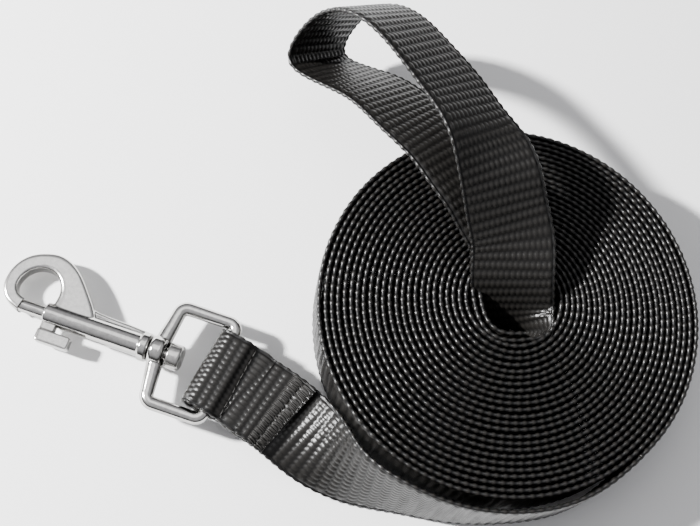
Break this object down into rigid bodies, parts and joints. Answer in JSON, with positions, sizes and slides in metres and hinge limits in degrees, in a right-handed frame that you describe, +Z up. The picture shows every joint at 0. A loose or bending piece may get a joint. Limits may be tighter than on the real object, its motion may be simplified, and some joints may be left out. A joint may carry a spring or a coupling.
{
  "type": "dog training leash",
  "caption": "Flat webbing training leash wound into a disc on edge, with a sewn hand loop and a bolt snap that swivels in a square eye.",
  "frame": {"origin": "middle of the bounding box's footprint, at the height of the surface the coil lies on", "axes": "+X from the snap towards the coil, +Y towards the hand loop, +Z up out of the surface"},
  "size_m": [0.2072, 0.157, 0.0555],
  "materials": {
    "webbing": "black woven nylon, slightly glossy filaments",
    "thread": "black sewing thread",
    "plated_metal": "bright plated die casting",
    "spring_steel": "drawn wire"
  },
  "bodies": {
    "strap": {"strap_coil": "webbing", "strap_lead": "webbing", "hand_loop": "webbing", "eye_bartack": "thread", "eye_stitch_row": "thread", "loop_box_stitch": "thread"},
    "eye": {"square_eye": "plated_metal"},
    "snap": {"snap_body": "plated_metal", "swivel_rivet": "plated_metal", "bolt_spring": "spring_steel"},
    "bolt": {"snap_bolt": "plated_metal"}
  },
  "joints": [
    {"name": "eye_hinge", "type": "hinge", "parent": "strap", "child": "eye", "pos_m": [-0.03777, -0.03568, 0.0104], "axis": [0.3289, 0.9444, 0], "range_deg": [-80, 80]},
    {"name": "snap_swivel", "type": "hinge", "parent": "eye", "child": "snap", "pos_m": [-0.03777, -0.03568, 0.0104], "axis": [0.9408, -0.3276, 0.0872], "continuous": true},
    {"name": "bolt_slide", "type": "slide", "parent": "snap", "child": "bolt", "axis": [0.9408, -0.3276, 0.0872], "range_m": [0, 0.009], "stiffness_N_per_m": 330, "springref_m": -0.003, "deforming": ["bolt_spring"]}
  ]
}
